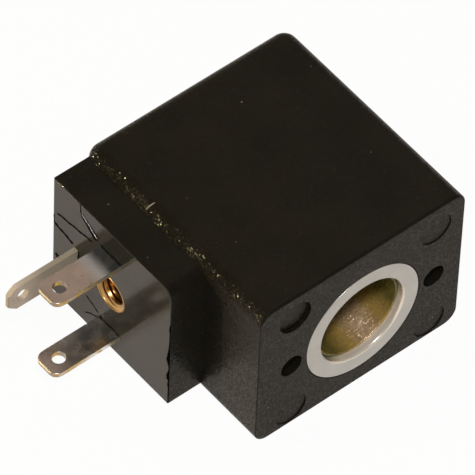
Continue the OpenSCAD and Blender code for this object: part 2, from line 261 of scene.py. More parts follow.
def makeTurnedGroup():
    # tool marks round the bore axis: noise along the distance from that axis
    group, given, out = startGroup(
        "turnedMarks", [("Vector", "Vector", None), ("Pitch", "Float", 0.0001)], [("Height", "Float")]
    )
    parts = addNode(group, "ShaderNodeSeparateXYZ", {0: given["Vector"]})
    flat = addNode(group, "ShaderNodeCombineXYZ", {"X": parts.outputs["X"], "Z": parts.outputs["Z"]})
    reach = vectorNode(group, "LENGTH", flat.outputs[0])["Value"]
    steps = mathNode(group, "DIVIDE", reach, given["Pitch"])
    marks = {"W": steps, "Scale": 1.0, "Detail": effects["turnedDetail"]}
    noise = addNode(group, "ShaderNodeTexNoise", marks, noise_dimensions="1D")
    group.links.new(noise.outputs[0], out["Height"])
    return group


grainGroup = makeGrainGroup()
fleckGroup = makeFleckGroup()
blotchGroup = makeBlotchGroup()
speckGroup = makeSpeckGroup()
edgeGroup = makeEdgeGroup()
streakGroup = makeStreakGroup()
turnedGroup = makeTurnedGroup()


def startMaterial(name, metallic=0.0, specular=0.5):
    material = bpy.data.materials.new(name)
    material.use_nodes = True
    tree = material.node_tree
    shader = tree.nodes["Principled BSDF"]
    shader.inputs["Metallic"].default_value = metallic
    shader.inputs["Specular IOR Level"].default_value = specular
    place = tree.nodes.new("ShaderNodeTexCoord").outputs["Object"]
    return material, tree, shader, place


def addBump(tree, shader, height, depth):
    bump = addNode(tree, "ShaderNodeBump", {"Height": height, "Distance": depth, "Strength": 1.0})
    tree.links.new(bump.outputs[0], shader.inputs["Normal"])


def blotch(tree, place, size, low=0.0, high=1.0):
    return useGroup(tree, blotchGroup, {"Vector": place, "Size": size, "Low": low, "High": high})["Value"]


def besideBore(tree, place, side):
    # the spoke from the bore axis out to a place, and how near its direction is to one side
    spoke = vectorNode(tree, "MULTIPLY", place, (1.0, 0.0, 1.0))[0]
    near = vectorNode(tree, "DOT_PRODUCT", vectorNode(tree, "NORMALIZE", spoke)[0], side)["Value"]
    return spoke, near


# moulded block: dark pebbled plastic whose grain glints here and there, smooth and glossy on the plug face
mouldingLook = {
    "dark": (0.0082, 0.0073, 0.0051),
    "light": (0.0118, 0.0104, 0.0075),
    "toneSize": 5 * mm,
    "worn": (0.018, 0.016, 0.012),
    "wornRadius": 0.10 * mm,
    "wornShare": 0.4,
    "dust": (0.42, 0.40, 0.34),
    "dustSpots": {"Spacing": 1.0 * mm, "Share": 0.12, "Radius": 0.060},
    "rough": (2.5 * mm, 0.25, 0.32),
    "specular": 0.105,
    "grainSize": 0.10 * mm,
    "grainDepth": 0.008 * mm,
    "fleckSize": 0.13 * mm,
    "flatLean": 0.12,
    "edgeLean": 0.33,
    "edgeGloss": 0.15,
    "edgeSpan": (0.05, 0.30),
    "padDepth": 0.03 * mm,
    "padFilm": (0.008, 0.0066, 0.0044),
    "padRough": (1.5 * mm, 0.13, 0.20),
    "padGrain": 0.22,
    "padCoat": 0.37,
    "coatRough": 0.12,
    "coatIor": 1.5,
}


def makeMoulding():
    look = mouldingLook
    material, tree, shader, place = startMaterial("mouldedPlastic", specular=look["specular"])
    plug(tree, shader, {"Coat Roughness": look["coatRough"], "Coat IOR": look["coatIor"]})
    parts = addNode(tree, "ShaderNodeSeparateXYZ", {0: place})
    onPad = mathNode(tree, "LESS_THAN", parts.outputs["X"], padFaceX + look["padDepth"])
    base = mixColour(tree, blotch(tree, place, look["toneSize"]), look["dark"], look["light"])
    base = mixColour(tree, onPad, base, look["padFilm"])
    edge = useGroup(tree, edgeGroup, {"Radius": look["wornRadius"]})["Mask"]
    base = mixColour(tree, mathNode(tree, "MULTIPLY", edge, look["wornShare"]), base, look["worn"])
    dust = useGroup(tree, speckGroup, {"Vector": place, **look["dustSpots"]})["Mask"]
    tree.links.new(mixColour(tree, dust, base, look["dust"]), shader.inputs["Base Color"])
    tree.links.new(mathNode(tree, "MULTIPLY", onPad, look["padCoat"]), shader.inputs["Coat Weight"])
    # the grain leans more and is glossier on the rounded edge between the plug side and the top
    normal = addNode(tree, "ShaderNodeNewGeometry").outputs["Normal"]
    ways = addNode(tree, "ShaderNodeSeparateXYZ", {0: normal}).outputs
    between = mathNode(tree, "MINIMUM", mathNode(tree, "MULTIPLY", ways["X"], -1.0), ways["Z"])
    lean = rangeNode(tree, between, *look["edgeSpan"], look["flatLean"], look["edgeLean"])
    gloss = rangeNode(tree, between, *look["edgeSpan"], 0.0, look["edgeGloss"])
    rough = blotch(tree, place, *look["rough"])
    padRough = blotch(tree, place, *look["padRough"])
    lower = mathNode(tree, "MULTIPLY", onPad, mathNode(tree, "SUBTRACT", rough, padRough))
    lower = mathNode(tree, "ADD", lower, gloss)
    tree.links.new(mathNode(tree, "SUBTRACT", rough, lower), shader.inputs["Roughness"])
    grain = useGroup(tree, grainGroup, {"Vector": place, "Size": look["grainSize"]})["Height"]
    fleck = useGroup(tree, fleckGroup, {"Vector": place, "Size": look["fleckSize"], "Lean": lean})["Height"]
    height = mathNode(tree, "ADD", mathNode(tree, "MULTIPLY", grain, look["grainDepth"]), fleck)
    share = rangeNode(tree, onPad, 0.0, 1.0, 1.0, look["padGrain"])
    addBump(tree, shader, mathNode(tree, "MULTIPLY", height, share), 1.0)
    return material


# flash left by the mould: the same plastic, matte, and a pale scuff of it
flashLook = {
    "dark": (0.0030, 0.0027, 0.0022),
    "light": (0.0060, 0.0054, 0.0044),
    "toneSize": 0.8 * mm,
    "rough": (0.3 * mm, 0.50, 0.70),
    "specular": 0.0,
}
scuffLook = {**flashLook, "dark": (0.20, 0.19, 0.165), "light": (0.42, 0.40, 0.36), "specular": 0.30}


def makeFlash(name, look):
    material, tree, shader, place = startMaterial(name, specular=look["specular"])
    base = mixColour(tree, blotch(tree, place, look["toneSize"]), look["dark"], look["light"])
    tree.links.new(base, shader.inputs["Base Color"])
    tree.links.new(blotch(tree, place, *look["rough"]), shader.inputs["Roughness"])
    return material


# bead of flash: dull black with a gloss along its upper flank only
beadLook = {"flank": (0.0, -0.524, 0.852), "glossSpan": (0.60, 0.82), "coatRough": 0.16, "coatIor": 2.0}


def makeBeadFlash():
    material = makeFlash("glossyFlash", flashLook)
    tree = material.node_tree
    shader = tree.nodes["Principled BSDF"]
    plug(tree, shader, {"Coat Roughness": beadLook["coatRough"], "Coat IOR": beadLook["coatIor"]})
    normal = addNode(tree, "ShaderNodeNewGeometry").outputs["Normal"]
    side = vectorNode(tree, "DOT_PRODUCT", normal, beadLook["flank"])["Value"]
    tree.links.new(rangeNode(tree, side, *beadLook["glossSpan"], 0.0, 1.0), shader.inputs["Coat Weight"])
    return material


# pole rings: plated steel with turning marks on the faces
ringLook = {
    "bright": (0.535, 0.540, 0.530),
    "dull": (0.485, 0.489, 0.479),
    "toneSize": 2.5 * mm,
    "rough": (1.2 * mm, 0.30, 0.42),
    # the lip's pale colour, kept to the lit side of the hole, is painted light
    "litLip": (0.90, 0.83, 0.74),
    "lipReach": 4.58 * mm,
    "lipFade": 0.06 * mm,
    "lipRough": -0.14,
    "lipMetal": 0.46,
    "litSide": (0.47, 0.0, -0.88),
    "litSideSpan": (0.10, 0.60),
    "pitch": 0.07 * mm,
    "depth": 0.004 * mm,
}


def makeRingSteel():
    look = ringLook
    material, tree, shader, place = startMaterial("platedRingSteel", metallic=1.0)
    base = mixColour(tree, blotch(tree, place, look["toneSize"]), look["bright"], look["dull"])
    # pale, less metallic and smoother plating on the lip and wall of the hole, on the side where the front
    # lamp's light falls: painted light
    spoke, near = besideBore(tree, place, look["litSide"])
    reach = vectorNode(tree, "LENGTH", spoke)["Value"]
    litLip = rangeNode(tree, reach, look["lipReach"], look["lipReach"] - look["lipFade"], 0.0, 1.0)
    litLip = mathNode(tree, "MULTIPLY", litLip, rangeNode(tree, near, *look["litSideSpan"], 0.0, 1.0))
    tree.links.new(mixColour(tree, litLip, base, look["litLip"]), shader.inputs["Base Color"])
    tree.links.new(rangeNode(tree, litLip, 0.0, 1.0, 1.0, look["lipMetal"]), shader.inputs["Metallic"])
    change = mathNode(tree, "MULTIPLY", litLip, look["lipRough"])
    rough = mathNode(tree, "ADD", blotch(tree, place, *look["rough"]), change)
    tree.links.new(rough, shader.inputs["Roughness"])
    marks = useGroup(tree, turnedGroup, {"Vector": place, "Pitch": look["pitch"]})["Height"]
    addBump(tree, shader, marks, look["depth"])
    return material


# bore lining: passivated tube with tool marks round it, gold along the line of its wall that the front lamp
# lights, amber beside it and darker olive away from it: painted light and shade, with some real olive tint of
# the passivation
sleeveLook = {
    "gold": (0.60, 0.43, 0.27),
    "brown": (0.45, 0.30, 0.16),
    "toneSize": 1.6 * mm,
    # amber beside the lit line and darker olive further from it: painted light and shade, partly the
    # passivation's own olive tint
    "amber": (0.47, 0.31, 0.070),
    "amberSpan": (0.995, 0.92),
    "amberShare": 0.85,
    "olive": (0.14, 0.125, 0.028),
    "oliveSpan": (0.90, 0.62),
    "oliveShare": 0.95,
    "litSide": (0.39, 0.0, -0.92),
    "metal": 0.40,
    "rough": (0.5 * mm, 0.18, 0.36),
    "markSizes": (1.5 * mm, 0.20 * mm, 1.5 * mm),
    "depth": 0.056 * mm,
    "fleckSize": 0.10 * mm,
    "fleckLean": 0.22,
}


def makeSleeveMetal():
    look = sleeveLook
    material, tree, shader, place = startMaterial("passivatedSleeve", metallic=look["metal"])
    base = mixColour(tree, blotch(tree, place, look["toneSize"]), look["gold"], look["brown"])
    near = besideBore(tree, place, look["litSide"])[1]
    # painted light along the lit line, painted shade towards olive away from it
    amber = rangeNode(tree, near, *look["amberSpan"], 0.0, look["amberShare"])
    olive = rangeNode(tree, near, *look["oliveSpan"], 0.0, look["oliveShare"])
    base = mixColour(tree, amber, base, look["amber"])
    tree.links.new(mixColour(tree, olive, base, look["olive"]), shader.inputs["Base Color"])
    tree.links.new(blotch(tree, place, *look["rough"]), shader.inputs["Roughness"])
    marks = useGroup(tree, streakGroup, {"Vector": place, "Sizes": look["markSizes"]})["Height"]
    marks = mathNode(tree, "MULTIPLY", marks, look["depth"])
    grit = {"Vector": place, "Size": look["fleckSize"], "Lean": look["fleckLean"]}
    addBump(tree, shader, mathNode(tree, "ADD", marks, useGroup(tree, fleckGroup, grit)["Height"]), 1.0)
    return material


# contact tabs: tinned faces, patches of bare brass along the edge where the strip was cut
lineTabLook = {
    "tin": (0.58, 0.50, 0.46),
    "shade": (0.48, 0.42, 0.395),
    # root: painted reflection of the block, bluish grey towards the tab's root
    "root": (0.56, 0.63, 0.70),
    "rootFrom": 2.9 * mm,
    "rootTo": 1.9 * mm,
    "rootShare": 0.85,
    "brassShare": 1.0,
    "metallic": 1.0,
    "rough": (0.20, 0.30),
}
lowerTabLook = {
    **lineTabLook,
    "tin": (0.66, 0.575, 0.545),
    "shade": (0.58, 0.525, 0.505),
    # root: painted reflection of the block, pale bluish grey towards the tab's root
    "root": (0.84, 0.87, 0.90),
    "rootFrom": 5.6 * mm,
    "rootTo": 3.0 * mm,
}
earthTabLook = {
    "tin": (0.61, 0.515, 0.455),
    "shade": (0.50, 0.435, 0.38),
    # root: darker towards the root, painted shade and painted reflection of the block
    "root": (0.30, 0.27, 0.22),
    "rootFrom": 5.8 * mm,
    "rootTo": 3.6 * mm,
    "rootShare": 0.85,
    "brassShare": 0.0,
    "metallic": 0.20,
    "rough": (0.40, 0.52),
}
tabWear = {
    "toneSize": 1.6 * mm,
    "roughSize": 0.9 * mm,
    "tarnish": (0.20, 0.18, 0.16),
    "tarnishShare": 0.5,
    "tipSpan": (-0.30, -0.55),
    "tipRough": 0.28,
    "brass": (0.62, 0.45, 0.15),
    "brassSpan": (-0.45, -0.80),
    "brassPatches": (0.7 * mm, -0.2, 1.3),
    "brassRough": 0.22,
    "spot": (0.08, 0.065, 0.055),
    "spotShare": 0.7,
    "spots": {"Spacing": 0.5 * mm, "Share": 0.35, "Radius": 0.12},
    "streakSizes": (3 * mm, 0.09 * mm, 0.09 * mm),
    "streakDepth": 0.0015 * mm,
}


def makeTabMetal(name, look):
    wear = tabWear
    material, tree, shader, place = startMaterial(name, metallic=look["metallic"])
    normal = addNode(tree, "ShaderNodeNewGeometry").outputs["True Normal"]
    ways = addNode(tree, "ShaderNodeSeparateXYZ", {0: normal}).outputs
    cutEdge = rangeNode(tree, ways["Y"], *wear["brassSpan"], 0.0, look["brassShare"])
    tip = rangeNode(tree, ways["X"], *wear["tipSpan"], 0.0, 1.0)
    patches = mathNode(tree, "MULTIPLY", cutEdge, blotch(tree, place, *wear["brassPatches"]))
    bare = addNode(tree, "ShaderNodeClamp", {"Value": patches}).outputs[0]
    base = mixColour(tree, blotch(tree, place, wear["toneSize"]), look["tin"], look["shade"])
    # another tone towards the root, which is painted reflection of the block and painted shade next to it,
    # and a dull blanked tip
    along = addNode(tree, "ShaderNodeSeparateXYZ", {0: place}).outputs["X"]
    rootSpan = (padFaceX - look["rootFrom"], padFaceX - look["rootTo"])
    base = mixColour(tree, rangeNode(tree, along, *rootSpan, 0.0, look["rootShare"]), base, look["root"])
    base = mixColour(tree, mathNode(tree, "MULTIPLY", tip, wear["tarnishShare"]), base, wear["tarnish"])
    spots = useGroup(tree, speckGroup, {"Vector": place, **wear["spots"]})["Mask"]
    base = mixColour(tree, mathNode(tree, "MULTIPLY", spots, wear["spotShare"]), base, wear["spot"])
    tree.links.new(mixColour(tree, bare, base, wear["brass"]), shader.inputs["Base Color"])
    rough = blotch(tree, place, wear["roughSize"], *look["rough"])
    rougher = mathNode(tree, "MULTIPLY", tip, wear["tipRough"])
    rougher = mathNode(tree, "ADD", rougher, mathNode(tree, "MULTIPLY", bare, wear["brassRough"]))
    tree.links.new(mathNode(tree, "ADD", rough, rougher), shader.inputs["Roughness"])
    streaks = useGroup(tree, streakGroup, {"Vector": place, "Sizes": wear["streakSizes"]})["Height"]
    addBump(tree, shader, streaks, wear["streakDepth"])
    return material


# threaded insert: bright turned brass, browner down its hole
insertLook = {
    "bright": (0.62, 0.40, 0.17),
    "dull": (0.52, 0.31, 0.11),
    "dullShare": 0.6,
    "toneSize": 0.8 * mm,
    "wall": (0.52, 0.27, 0.07),
    "wallSpan": (0.15 * mm, 0.40 * mm),
    # dark brown deep in the hole and in the grooves: painted shade
    "holeShade": (0.09, 0.045, 0.015),
    "holeShadeSpan": (0.9 * mm, 1.6 * mm),
    "grooveSpan": (1.34 * mm, 1.40 * mm),
    "grooveShare": 0.95,
    "oil": 0.9,
    "oilRough": 0.2,
    "oilIor": 1.5,
    "rough": (0.5 * mm, 0.26, 0.36),
    "grainSize": 0.08 * mm,
    "grainDepth": 0.002 * mm,
}


def makeInsertBrass():
    look = insertLook
    material, tree, shader, place = startMaterial("turnedBrass", metallic=1.0)
    plug(tree, shader, {"Coat Roughness": look["oilRough"], "Coat IOR": look["oilIor"]})
    along = addNode(tree, "ShaderNodeSeparateXYZ", {0: place}).outputs["X"]
    tone = mathNode(tree, "MULTIPLY", blotch(tree, place, look["toneSize"]), look["dullShare"])
    base = mixColour(tree, tone, look["bright"], look["dull"])
    down = rangeNode(tree, along, *(insertLow.x + depth for depth in look["wallSpan"]), 0.0, 1.0)
    base = mixColour(tree, down, base, look["wall"])
    tree.links.new(mathNode(tree, "MULTIPLY", down, look["oil"]), shader.inputs["Coat Weight"])
    # painted shade in the thread's grooves, and painted shade further down the hole
    across = vectorNode(tree, "SUBTRACT", place, (0.0, plugY, plugZ))[0]
    reach = vectorNode(tree, "LENGTH", vectorNode(tree, "MULTIPLY", across, (0.0, 1.0, 1.0))[0])["Value"]
    groove = rangeNode(tree, reach, *look["grooveSpan"], 0.0, look["grooveShare"])
    far = rangeNode(tree, along, *(insertLow.x + depth for depth in look["holeShadeSpan"]), 0.0, 1.0)
    dark = mathNode(tree, "MAXIMUM", mathNode(tree, "MULTIPLY", groove, down), far)
    tree.links.new(mixColour(tree, dark, base, look["holeShade"]), shader.inputs["Base Color"])
    tree.links.new(blotch(tree, place, *look["rough"]), shader.inputs["Roughness"])
    fine = useGroup(tree, grainGroup, {"Vector": place, "Size": look["grainSize"]})["Height"]
    addBump(tree, shader, fine, look["grainDepth"])
    return material


# finishes of the pieces sealed inside: two tones, roughness and the streaks' size along each axis in mm
innerLooks = {
    "naturalNylon": {
        "colours": ((0.78, 0.74, 0.64), (0.70, 0.65, 0.54)),
        "metal": 0.0,
        "rough": (0.40, 0.55),
        "streaks": (1.0, 1.0, 1.0),
    },
    "copperTurns": {
        "colours": ((0.62, 0.27, 0.11), (0.42, 0.16, 0.06)),
        "metal": 1.0,
        "rough": (0.22, 0.34),
        "streaks": (20.0, 0.12, 20.0),
    },
    "yellowTape": {
        "colours": ((0.78, 0.60, 0.14), (0.66, 0.48, 0.09)),
        "metal": 0.0,
        "rough": (0.25, 0.40),
        "streaks": (20.0, 1.2, 20.0),
    },
    "yokeSteel": {
        "colours": ((0.52, 0.52, 0.53), (0.40, 0.40, 0.42)),
        "metal": 1.0,
        "rough": (0.30, 0.48),
        "streaks": (0.15, 3.0, 0.15),
    },
    "rivetBrass": {
        "colours": ((0.74, 0.54, 0.22), (0.56, 0.38, 0.13)),
        "metal": 1.0,
        "rough": (0.24, 0.40),
        "streaks": (0.1, 2.0, 2.0),
    },
    "redSleeving": {
        "colours": ((0.60, 0.08, 0.06), (0.42, 0.05, 0.04)),
        "metal": 0.0,
        "rough": (0.50, 0.70),
        "streaks": (0.12, 0.12, 0.12),
    },
    "softSolder": {
        "colours": ((0.64, 0.64, 0.66), (0.48, 0.48, 0.51)),
        "metal": 1.0,
        "rough": (0.22, 0.38),
        "streaks": (0.6, 0.6, 0.6),
    },
}
innerTexture = {"toneSize": 2.0 * mm, "roughSize": 1.0 * mm, "streakDepth": 0.02 * mm}


def makeInner(name, look):
    material, tree, shader, place = startMaterial(name, metallic=look["metal"])
    tone = blotch(tree, place, innerTexture["toneSize"])
    tree.links.new(mixColour(tree, tone, *look["colours"]), shader.inputs["Base Color"])
    rough = blotch(tree, place, innerTexture["roughSize"], *look["rough"])
    tree.links.new(rough, shader.inputs["Roughness"])
    sizes = tuple(size * mm for size in look["streaks"])
    marks = useGroup(tree, streakGroup, {"Vector": place, "Sizes": sizes})["Height"]
    addBump(tree, shader, marks, innerTexture["streakDepth"])
    return material


moulding = makeMoulding()
matteFlash = makeFlash("matteFlash", flashLook)
glossyFlash = makeBeadFlash()
paleScuff = makeFlash("paleScuff", scuffLook)
ringSteel = makeRingSteel()
sleeveMetal = makeSleeveMetal()
upperTabMetal = makeTabMetal("tinnedUpperTab", lineTabLook)
lowerTabMetal = makeTabMetal("tinnedLowerTab", lowerTabLook)
earthTabMetal = makeTabMetal("tinnedEarthTab", earthTabLook)
insertBrass = makeInsertBrass()
innerMetals = {name: makeInner(name, look) for name, look in innerLooks.items()}
print("finishes made:", len(bpy.data.materials))


# mesh helpers, with the angle from which the edges of each kind of piece stay sharp
sharpDegrees = {"turned": 32.0, "thread": 50.0, "moulded": 32.0, "flash": 40.0}


def gridFaces(rows, columns):
    # four-sided faces of a grid that closes on itself both ways
    i = np.arange(rows)[:, None]
    j = np.arange(columns)[None, :]
    nextRow = (i + 1) % rows
    nextColumn = (j + 1) % columns
    corners = [
        i * columns + j,
        nextRow * columns + j,
        nextRow * columns + nextColumn,
        i * columns + nextColumn,
    ]
    return np.stack(corners, -1).reshape(-1, 4)


def turnOutwards(points, faces):
    # a closed mesh with its faces outwards has a positive volume
    a, b, c, d = (points[faces[:, k]] for k in range(4))
    volume = (a * np.cross(b, c)).sum() + (a * np.cross(c, d)).sum()
    return faces if volume > 0 else faces[:, ::-1]


def addPiece(name, points, faces, material, replaces=None, kind="turned"):
    mesh = bpy.data.meshes.new(name)
    mesh.from_pydata(points.reshape(-1, 3).tolist(), [], faces)
    mesh.materials.append(material)
    mesh.shade_smooth()
    mesh.set_sharp_from_angle(angle=math.radians(sharpDegrees[kind]))
    piece = bpy.data.objects.new(name, mesh)
    bpy.context.scene.collection.objects.link(piece)
    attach(piece, "root")
    if replaces:
        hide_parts(replaces)
    return piece


def ringFaces(points):
    rows, columns, _ = points.shape
    return turnOutwards(points.reshape(-1, 3), gridFaces(rows, columns)).tolist()


def roundedLoop(corners, radii, steps=5):
    # a closed outline whose corners are quarter-like arcs: each arc is the curve that leaves one side
    # and meets the next with the corner as its control point
    corners = np.array(corners, float)
    reach = np.array(radii, float)[:, None]
    before = np.roll(corners, 1, axis=0) - corners
    after = np.roll(corners, -1, axis=0) - corners
    start = corners + before / np.linalg.norm(before, axis=1, keepdims=True) * reach
    end = corners + after / np.linalg.norm(after, axis=1, keepdims=True) * reach
    t = np.linspace(0.0, 1.0, steps)[None, :, None]
    arcs = (1 - t) ** 2 * start[:, None] + 2 * t * (1 - t) * corners[:, None] + t**2 * end[:, None]
    return arcs.reshape(-1, 2)


def turnAboutY(outline, sides):
    # outline point (radius, y) turned round the bore axis: x = radius cos a, z = radius sin a
    angle = np.linspace(0.0, 2 * np.pi, sides, endpoint=False)[None, :]
    radius = outline[:, :1]
    y = np.broadcast_to(outline[:, 1:], (len(outline), sides))
    return np.stack([radius * np.cos(angle), y, radius * np.sin(angle)], -1)


# pole rings: a flat washer with small broken edges
poleRing = {"innerRadius": 4.38, "outerBreak": 0.06, "innerBreak": 0.26, "hiddenBreak": 0.03, "sides": 144}


def addPoleRing(node, name, faceY):
    low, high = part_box(node)
    outer = high.x
    inner = poleRing["innerRadius"] * mm
    backY = low.y + high.y - faceY
    corners = [(inner, faceY), (outer, faceY), (outer, backY), (inner, backY)]
    breaks = ("innerBreak", "outerBreak", "hiddenBreak", "hiddenBreak")
    outline = roundedLoop(corners, [poleRing[b] * mm for b in breaks])
    points = turnAboutY(outline, poleRing["sides"])
    addPiece(name, points, ringFaces(points), ringSteel, node)


addPoleRing("front_pole_ring", "frontPoleRing", frontY)
addPoleRing("rear_pole_ring", "rearPoleRing", rearY)


# bore lining: a thin tube with rolled ends
boreTube = {"boreRadius": 4.10, "endBreak": 0.10, "sides": 144}


def addBoreTube():
    low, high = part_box("bore_sleeve")
    outer = high.x
    inner = boreTube["boreRadius"] * mm
    corners = [(inner, low.y), (outer, low.y), (outer, high.y), (inner, high.y)]
    outline = roundedLoop(corners, [boreTube["endBreak"] * mm] * 4)
    points = turnAboutY(outline, boreTube["sides"])
    addPiece("boreTube", points, ringFaces(points), sleeveMetal, "bore_sleeve")


addBoreTube()


# threaded insert: round rim, small countersink, then a helical thread cut outwards from the core
insertShape = {
    "coreRadius": 1.25,
    "threadDepth": 0.25,
    "pitch": 0.5,
    "mouthRadius": 1.72,
    "mouthDepth": 0.22,
    "collarRadius": 1.90,
    "bandRadius": 2.30,
    "collarLength": 0.80,
    "grooveWidth": 1.00,
    "rimBreak": 0.10,
    "rimSteps": 13,
    "threadStart": 0.02,
    "fadeFrom": 0.10,
    "fadeLength": 0.12,
    "grooveShare": 0.24,
    "crestOpen": 0.36,
    "sides": 96,
    "threadRows": 230,
}


def addInsert():
    s = insertShape
    length = (insertHigh.x - insertLow.x) / mm
    grooveStart = (s["collarLength"] + length - s["grooveWidth"]) / 2
    grooveEnd = grooveStart + s["grooveWidth"]
    # outside, from the far end to the collar: two bands with a groove between
    outside = np.array([
        (s["coreRadius"] + s["threadDepth"] + s["rimBreak"], length),
        (s["bandRadius"], length),
        (s["bandRadius"], grooveEnd),
        (s["collarRadius"], grooveEnd),
        (s["collarRadius"], grooveStart),
        (s["bandRadius"], grooveStart),
        (s["bandRadius"], s["collarLength"]),
        (s["collarRadius"], s["collarLength"]),
    ])
    # rim: a half oval from the collar's side over the face to the mouth's cone
    turn = np.linspace(0.0, np.pi, s["rimSteps"])
    middle = (s["collarRadius"] + s["mouthRadius"]) / 2
    reach = s["collarRadius"] - middle
    rim = np.stack([middle + reach * np.cos(turn), s["rimBreak"] * (1 - np.sin(turn))], -1)
    outside = np.concatenate([outside, rim])
    # inside: radius = cone or core, plus the thread's depth times a wave that goes round once for each pitch.
    # the wave has a broad crest that opens towards the mouth, and a narrow groove
    depth = np.linspace(s["rimBreak"] + s["threadStart"], length, s["threadRows"])[:, None]
    angle = np.linspace(0.0, 2 * np.pi, s["sides"], endpoint=False)[None, :]
    phase = (depth / s["pitch"] - angle / (2 * np.pi)) % 1.0
    groove = np.clip(1.0 - np.abs(phase - 1.0 + s["grooveShare"]) / s["grooveShare"], 0.0, 1.0)
    crest = s["crestOpen"] * np.clip(1.0 - phase / (1.0 - 2 * s["grooveShare"]), 0.0, 1.0)
    wave = np.maximum(groove, crest)
    fadeIn = np.clip((depth - s["fadeFrom"]) / s["fadeLength"], 0.0, 1.0)
    taper = s["mouthRadius"] - s["coreRadius"]
    cone = s["mouthRadius"] - taper * (depth - s["rimBreak"]) / s["mouthDepth"]
    inside = np.maximum(cone, s["coreRadius"] + s["threadDepth"] * wave * fadeIn)
    whole = (len(outside), s["sides"])
    radius = np.concatenate([np.broadcast_to(outside[:, :1], whole), inside]) * mm
    depths = np.broadcast_to(depth, inside.shape)
    along = np.concatenate([np.broadcast_to(outside[:, 1:], whole), depths]) * mm
    points = np.stack([
        insertLow.x + along,
        plugY + radius * np.cos(angle),
        plugZ + radius * np.sin(angle),
    ], -1)
    faces = ringFaces(points)
    addPiece("threadedInsert", points, faces, insertBrass, "threaded_insert", "thread")


addInsert()
print("turned pieces made")


# moulded block and tabs: the solid's own faces, merged, with their outer edges broken
edgeBreaks = {
    "housing": 0.26 * mm,
    "ringSeat": 0.10,
    "marks": 0.06,
    "plugHoles": 0.06,
    "pad": 0.40,
    "frontSides": 0.40,
    "cornerRadius": 1.35 * mm,
    "tab": 0.045 * mm,
    "segments": 4,
}
merging = {"reach": 1e-7, "flatDegrees": 0.4}
# places that tell the block's edges apart
edgePlaces = {
    "near": 0.02 * mm,
    "ringSeatRadius": 6.08 * mm,
    "rimWidth": 1.0 * mm,
    "padReach": 7.8 * mm,
    "padSideArea": 30 * mm**2,
    "padSideTurn": -0.5,
    "bodySideX": -11.25 * mm,
}


def mergedMesh(node, name):
    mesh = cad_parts[node].data.copy()
    mesh.name = name
    mesh.attributes.remove(mesh.attributes["custom_normal"])
    shape = bmesh.new()
    shape.from_mesh(mesh)
    bmesh.ops.remove_doubles(shape, verts=shape.verts, dist=merging["reach"])
    limit = math.radians(merging["flatDegrees"])
    bmesh.ops.dissolve_limit(shape, angle_limit=limit, verts=shape.verts, edges=shape.edges)
    return mesh, shape


def breakEdges(shape, weightOf):
    # sharp outer edges get the share of the full break that weightOf gives, the other sharp edges stay sharp
    layer = shape.edges.layers.float.new("bevel_weight_edge")
    limit = math.radians(sharpDegrees["moulded"])
    for face in shape.faces:
        face.smooth = True
    for edge in shape.edges:
        sharp = len(edge.link_faces) == 2 and edge.calc_face_angle(0.0) > limit
        edge[layer] = weightOf(edge) if sharp and edge.is_convex else 0.0
        edge.smooth = not sharp or edge[layer] > 0.0


def addDressed(node, name, shape, mesh, width, material):
    shape.to_mesh(mesh)
    shape.free()
    mesh.materials.clear()
    mesh.materials.append(material)
    piece = bpy.data.objects.new(name, mesh)
    bpy.context.scene.collection.objects.link(piece)
    bevel = piece.modifiers.new("brokenEdges", "BEVEL")
    bevel.limit_method = "WEIGHT"
    bevel.width = width
    bevel.segments = edgeBreaks["segments"]
    bevel.use_clamp_overlap = False
    bevel.harden_normals = True
    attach(piece, "root")
    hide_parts(node)
    return piece


def isPadSide(face):
    # one of the pad's broad sides, not its plug face
    away = abs(face.calc_center_median().x - padFaceX) > edgePlaces["near"]
    return away and face.normal.x > edgePlaces["padSideTurn"] and face.calc_area() > edgePlaces["padSideArea"]


def housingWeight(edge):
    near = edgePlaces["near"]
    rim = edgePlaces["rimWidth"]
    middle = (edge.verts[0].co + edge.verts[1].co) / 2
    onEnd = abs(middle.y - frontY) < near or abs(middle.y - rearY) < near
    if onEnd and math.hypot(middle.x, middle.z) < edgePlaces["ringSeatRadius"] + near:
        return edgeBreaks["ringSeat"]
    insideZ = housingLow.z + rim < middle.z < housingHigh.z - rim
    if onEnd and insideZ and abs(middle.x) < housingHigh.x - rim:
        return edgeBreaks["marks"]
    reach = math.hypot(middle.y - plugY, middle.z - plugZ)
    if abs(middle.x - padFaceX) < near and reach < edgePlaces["padReach"]:
        outer = any(isPadSide(face) for face in edge.link_faces)
        return edgeBreaks["pad"] if outer else edgeBreaks["plugHoles"]
    if middle.x < edgePlaces["bodySideX"] - near:
        return edgeBreaks["pad"]
    # the end faces' outer edges: the break grows from the sides' share to the full one up the corner arcs
    rise = min(max((middle.z - housingHigh.z) / edgeBreaks["cornerRadius"] + 1.0, 0.0), 1.0)
    return edgeBreaks["frontSides"] + (1.0 - edgeBreaks["frontSides"]) * rise if onEnd else 0.0


def addHousing():
    mesh, shape = mergedMesh("housing", "mouldedBlock")
    breakEdges(shape, housingWeight)
    addDressed("housing", "mouldedBlock", shape, mesh, edgeBreaks["housing"], moulding)


def addTab(node, name, material):
    mesh, shape = mergedMesh(node, name)
    breakEdges(shape, lambda edge: 1.0)
    addDressed(node, name, shape, mesh, edgeBreaks["tab"], material)


addHousing()
addTab("line_tab_upper", "upperLineTab", upperTabMetal)
addTab("line_tab_lower", "lowerLineTab", lowerTabMetal)
addTab("earth_tab", "earthTab", earthTabMetal)
print("block and tabs dressed")
